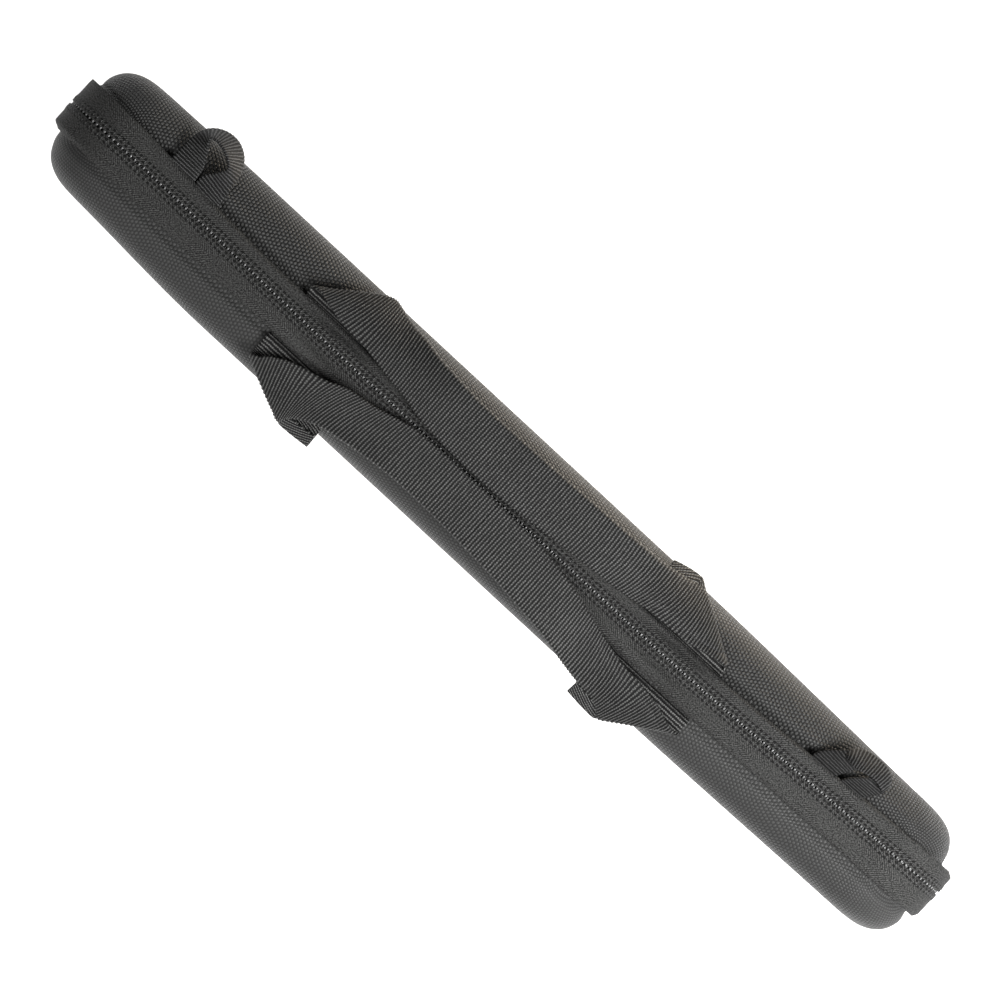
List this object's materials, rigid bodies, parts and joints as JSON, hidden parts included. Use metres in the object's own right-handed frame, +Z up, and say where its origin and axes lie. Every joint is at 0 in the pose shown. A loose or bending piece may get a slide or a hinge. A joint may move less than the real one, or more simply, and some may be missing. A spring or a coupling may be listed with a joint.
{
  "type": "rod case",
  "caption": "Long, slim, hard moulded clam-shell case for fishing rods, with a wrap-round zip, folded webbing handles, strap loops and a padded inside.",
  "frame": {"origin": "middle of the underside of the hinge strip, on which the closed case stands", "axes": "+X along the case towards the end with the zip slider, +Y to the lid's side, +Z up to the zip"},
  "size_m": [0.579, 0.089, 0.143],
  "materials": {
    "shell_fabric": "moulded foam skinned with a dark charcoal dotted weave, dull",
    "lining_fabric": "short brushed knit, dull",
    "binding_tape": "ribbed grosgrain tape",
    "zip_tape": "fine herringbone weave",
    "zip_coil": "semi-gloss nylon coil",
    "hinge_strip": "coarse plain weave",
    "webbing": "ribbed nylon webbing with a soft sheen",
    "rack_foam": "fine-celled closed foam",
    "elastic": "ribbed elastic band",
    "mesh": "open knitted mesh",
    "slider_metal": "dark plated, satin"
  },
  "bodies": {
    "base": {"base_shell": "shell_fabric", "base_lining": "lining_fabric", "base_rim_binding": "binding_tape", "zip_tape_base": "zip_tape", "zip_coil_base": "zip_coil", "zip_stops": "zip_coil", "hinge_strip_base": "hinge_strip", "rear_rod_rack": "rack_foam", "front_rod_rack": "rack_foam", "rear_rod_band": "elastic", "front_rod_band": "elastic"},
    "lid": {"lid_shell": "shell_fabric", "lid_lining": "lining_fabric", "lid_rim_binding": "binding_tape", "zip_tape_lid": "zip_tape", "zip_coil_lid": "zip_coil", "hinge_strip_lid": "hinge_strip", "mesh_pocket": "mesh", "pocket_binding": "binding_tape"},
    "base_handle_ends": {"base_handle_ends": "webbing"},
    "base_handle_grip": {"base_handle_grip": "webbing"},
    "lid_handle_ends": {"lid_handle_ends": "webbing"},
    "lid_handle_grip": {"lid_handle_grip": "webbing"},
    "rear_strap_loop": {"rear_strap_loop": "webbing"},
    "front_strap_loop": {"front_strap_loop": "webbing"},
    "slider": {"slider_body": "slider_metal"},
    "slider_pull": {"slider_pull": "slider_metal"}
  },
  "joints": [
    {"name": "lid_hinge", "type": "hinge", "parent": "base", "child": "lid", "pos_m": [0, 0, 0], "axis": [-1, 0, 0], "range_deg": [0, 180]},
    {"name": "base_handle_lift", "type": "hinge", "parent": "base", "child": "base_handle_ends", "pos_m": [0, -0.0155, 0.1345], "axis": [-1, 0, 0], "range_deg": [0, 80]},
    {"name": "base_grip_rise", "type": "slide", "parent": "base_handle_ends", "child": "base_handle_grip", "axis": [0, -1, 0], "range_m": [0, 0.036]},
    {"name": "lid_handle_lift", "type": "hinge", "parent": "lid", "child": "lid_handle_ends", "pos_m": [0, 0.0129, 0.1345], "axis": [1, 0, 0], "range_deg": [0, 80]},
    {"name": "lid_grip_rise", "type": "slide", "parent": "lid_handle_ends", "child": "lid_handle_grip", "axis": [0, 1, 0], "range_m": [0, 0.036]},
    {"name": "rear_strap_loop_lift", "type": "hinge", "parent": "lid", "child": "rear_strap_loop", "pos_m": [-0.212, 0.0129, 0.1345], "axis": [1, 0, 0], "range_deg": [0, 70]},
    {"name": "front_strap_loop_lift", "type": "hinge", "parent": "lid", "child": "front_strap_loop", "pos_m": [0.211, 0.0129, 0.1345], "axis": [1, 0, 0], "range_deg": [0, 70]},
    {"name": "slider_run", "type": "slide", "parent": "base", "child": "slider", "axis": [0, 0, 1], "range_m": [0, 0.036]},
    {"name": "slider_pull_swing", "type": "hinge", "parent": "slider", "child": "slider_pull", "pos_m": [0.2899, 0, 0.054], "axis": [0, -1, 0], "range_deg": [0, 170]}
  ],
  "couplings": [
    {"joint": "base_grip_rise", "follows": "base_handle_lift", "m_per_rad": 0.02564},
    {"joint": "lid_grip_rise", "follows": "lid_handle_lift", "m_per_rad": 0.02564}
  ]
}
